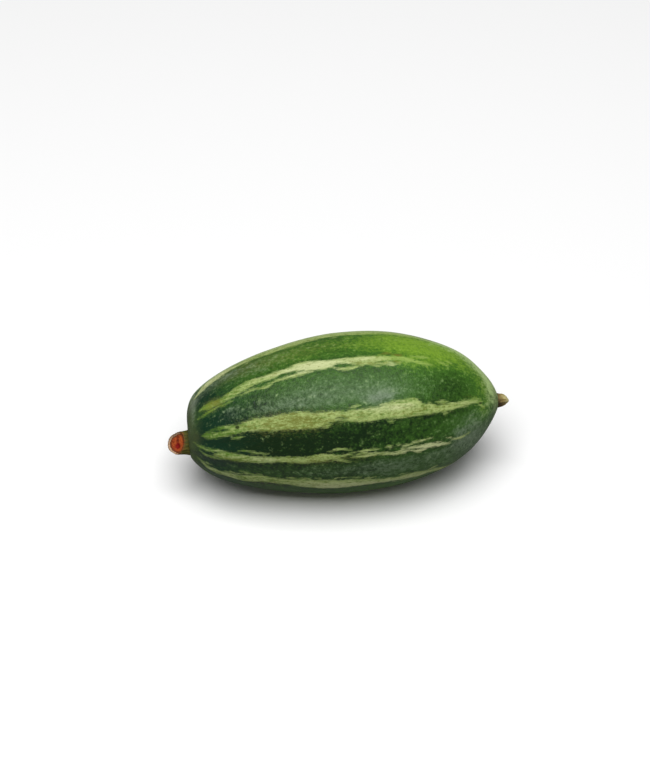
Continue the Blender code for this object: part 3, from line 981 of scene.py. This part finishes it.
# %% [markdown]
# ## The bark and the cut of the stub
#
# The side of the stub is drying bark, green where it leaves the fruit and brown towards the cut. The rim
# of the cut is pale, apart from one side. Inside it the torn core has dried to a mottled orange, with a
# dark edge that is painted shade where it sinks under the rim, and a little off its middle the pith is a
# deep red.

# %% The stub material
BARK_GREEN = screen(64, 66, 16)
BARK_LIGHT = screen(104, 98, 38)
BARK_BROWN = screen(112, 74, 34)
RIM_CREAM = screen(186, 158, 128)
CORE_EDGE_SHADE = screen(98, 50, 22)
CORE_ORANGE = screen(176, 84, 34)
CORE_RUST = screen(118, 36, 8)
PITH_RED = screen(124, 10, 2)


def make_stub_finish(piece):
    nodes, shader = new_material(piece, "gourd_stem")
    grain = streaks(nodes, nodes.mark("stem_place", "Vector"), length=2.4, width=0.45, start=8)
    torn = streaks(nodes, nodes.mark("face_place", "Vector"), length=0.9, width=0.7, start=31)
    pebbles = nodes.group(speckle_tree, Size=0.25)
    bark = nodes.tint(BARK_GREEN, BARK_LIGHT, grain["Coarse"], -0.2, 0.6)
    browning = nodes.plus("up_stem", (grain["Coarse"], 0.3))
    bark = nodes.tint(bark, BARK_BROWN, browning, 0.75, 1.05)
    rim_mask = nodes.plus("rim", (grain["Fine"], 0.5), ("shaded", -1))
    colour = nodes.tint(bark, RIM_CREAM, rim_mask, 0.25, 0.85)
    rusty = nodes.plus(torn["Coarse"], (torn["Fine"], 0.8), ("shaded", -0.3))
    core = nodes.plus("core", (torn["Coarse"], 0.12))
    inside = nodes.tint(CORE_ORANGE, CORE_RUST, rusty, -0.45, 0.45)
    # The dark edge of the core is painted shade under the rim.
    inside = nodes.tint(inside, CORE_EDGE_SHADE, core, 0.34, 0.08)
    inside = nodes.tint(inside, PITH_RED, nodes.plus("pith", (torn["Fine"], 0.35)), 0.18, 0.65)
    colour = nodes.tint(colour, inside, core, 0.02, 0.12)
    shade = nodes.plus(0.95, (pebbles["Tint"], 0.4))
    colour = nodes.add("HueSaturation", Value=shade, Color=colour).outputs[0]
    rough = nodes.plus(0.66, (grain["Fine"], 0.12))
    height = nodes.plus(pebbles["Height"], (grain["Fine"], 0.6))
    finish(nodes, shader, colour, rough, height, bump_strength=0.7, mirrors=0.2)


make_stub_finish(stub)

# %% [markdown]
# ## The dry remnant
#
# The remnant is papery: brown where it joins the fruit, tan further out, and straw coloured at its end
# and along its upper side. The brown at the foot is partly its own colour and partly painted shade where
# it meets the fruit, and the straw along the upper side is painted light from above.

# %% The remnant material
STRAW = screen(184, 174, 122)
HUSK_TAN = screen(126, 110, 62)
HUSK_BROWN_AND_SHADE = screen(66, 50, 26)


def make_remnant_finish(piece):
    nodes, shader = new_material(piece, "gourd_remnant")
    grain = streaks(nodes, nodes.mark("remnant_place", "Vector"), length=1.6, width=0.5, start=2)
    pebbles = nodes.group(speckle_tree, Size=0.22)
    # Paler along the upper side: painted light. Darker towards the foot: partly painted shade.
    ageing_and_painted_light = nodes.plus("up_remnant", (grain["Coarse"], 0.45), ("lit_upper_side", 0.32))
    colour = nodes.tint(HUSK_BROWN_AND_SHADE, HUSK_TAN, ageing_and_painted_light, 0.35, 0.8)
    colour = nodes.tint(colour, STRAW, ageing_and_painted_light, 0.7, 1.1)
    shade = nodes.plus(1, (pebbles["Tint"], 0.4))
    colour = nodes.add("HueSaturation", Value=shade, Color=colour).outputs[0]
    rough = nodes.plus(0.7, (grain["Fine"], 0.1))
    height = nodes.plus(pebbles["Height"], (grain["Fine"], 0.7))
    finish(nodes, shader, colour, rough, height, bump_strength=0.7, mirrors=0.25)


make_remnant_finish(remnant)

# %% [markdown]
# ## The camera
#
# The fruit is seen from above at 45 degrees, a little from the left, through a long lens that hardly
# distorts it. It lies near the middle of an upright picture of 650 by 780 pixels. The camera looks along
# a fixed direction, and is moved sideways until the middle of the fruit falls on its pixel.

# %% The camera
PICTURE = (650, 780)
VIEW_AZIMUTH = math.radians(-6.15)
VIEW_ELEVATION = math.radians(45)
VIEW_DISTANCE = 0.55
PIXELS_PER_METRE = 4094
FRUIT_PIXEL = (339.1, 411.0)
FRUIT_MIDDLE = Vector((0, 0, 19.5 * MM))
SENSOR = 36.0


def make_camera():
    level, aside, ahead = math.cos(VIEW_ELEVATION), math.sin(VIEW_AZIMUTH), math.cos(VIEW_AZIMUTH)
    back = Vector((aside * level, -ahead * level, math.sin(VIEW_ELEVATION)))
    right = Vector((ahead, aside, 0))
    up = back.cross(right)
    aside = (PICTURE[0] / 2 - FRUIT_PIXEL[0]) / PIXELS_PER_METRE
    above = (FRUIT_PIXEL[1] - PICTURE[1] / 2) / PIXELS_PER_METRE
    lens = bpy.data.cameras.new("camera")
    lens.sensor_width = SENSOR
    lens.lens = PIXELS_PER_METRE * VIEW_DISTANCE * SENSOR / PICTURE[1]
    lens.clip_start = 0.01
    camera = placed("camera", lens)
    camera.matrix_world = Matrix((right, up, back)).transposed().to_4x4()
    camera.location = FRUIT_MIDDLE + back * VIEW_DISTANCE + right * aside + up * above
    bpy.context.scene.camera = camera
    print("lens:", round(lens.lens, 1), "mm")


make_camera()

# %% [markdown]
# ## The light and the floor
#
# A waxy green skin needs something soft and bright to reflect, and something dark as well, or it looks
# like plastic. One large soft light hangs overhead, and the room around it is dim. A white floor would
# throw so much light back up that the green of the underside turned grey. So the floor is white only to
# the camera: Light Path tells the camera's rays from all the others, and to those the floor is a middling
# grey.

# %% The light and the floor
SOFTBOX_SIDE = 0.8
SOFTBOX_PLACE = Vector((-0.05, -0.22, 0.95))
SOFTBOX_WATTS = 12.5
ROOM_LIGHT = 0.12
FLOOR_SIDE = 4.0
FLOOR_WHITE = 0.90
FLOOR_GREY = 0.36
FLOOR_ROUGHNESS = 0.9


def make_softbox():
    light = bpy.data.lights.new("overhead_softbox", "AREA")
    light.shape = "SQUARE"
    light.size = SOFTBOX_SIDE
    light.energy = SOFTBOX_WATTS
    lamp = placed("overhead_softbox", light)
    lamp.location = SOFTBOX_PLACE
    lamp.rotation_euler = (FRUIT_MIDDLE - SOFTBOX_PLACE).to_track_quat("-Z", "Y").to_euler()


def make_floor():
    mesh = bpy.data.meshes.new("floor")
    sheet = bmesh.new()
    bmesh.ops.create_grid(sheet, x_segments=1, y_segments=1, size=FLOOR_SIDE / 2)
    sheet.to_mesh(mesh)
    sheet.free()
    floor = placed("floor", mesh)
    nodes, shader = new_material(floor, "floor_white")
    seen = nodes.add("LightPath").outputs["Is Camera Ray"]
    white, grey = (FLOOR_WHITE,) * 3 + (1,), (FLOOR_GREY,) * 3 + (1,)
    nodes.feed(shader.inputs["Base Color"], nodes.mix(seen, grey, white))
    shader.inputs["Roughness"].default_value = FLOOR_ROUGHNESS
    shader.inputs["Specular IOR Level"].default_value = 0.2


def make_room():
    room = bpy.data.worlds.new("room")
    room.use_nodes = True
    sky = room.node_tree.nodes["Background"].inputs
    sky["Color"].default_value = (1, 1, 1, 1)
    sky["Strength"].default_value = ROOM_LIGHT
    bpy.context.scene.world = room


make_softbox()
make_floor()
make_room()
bpy.context.scene.view_settings.view_transform = "Standard"
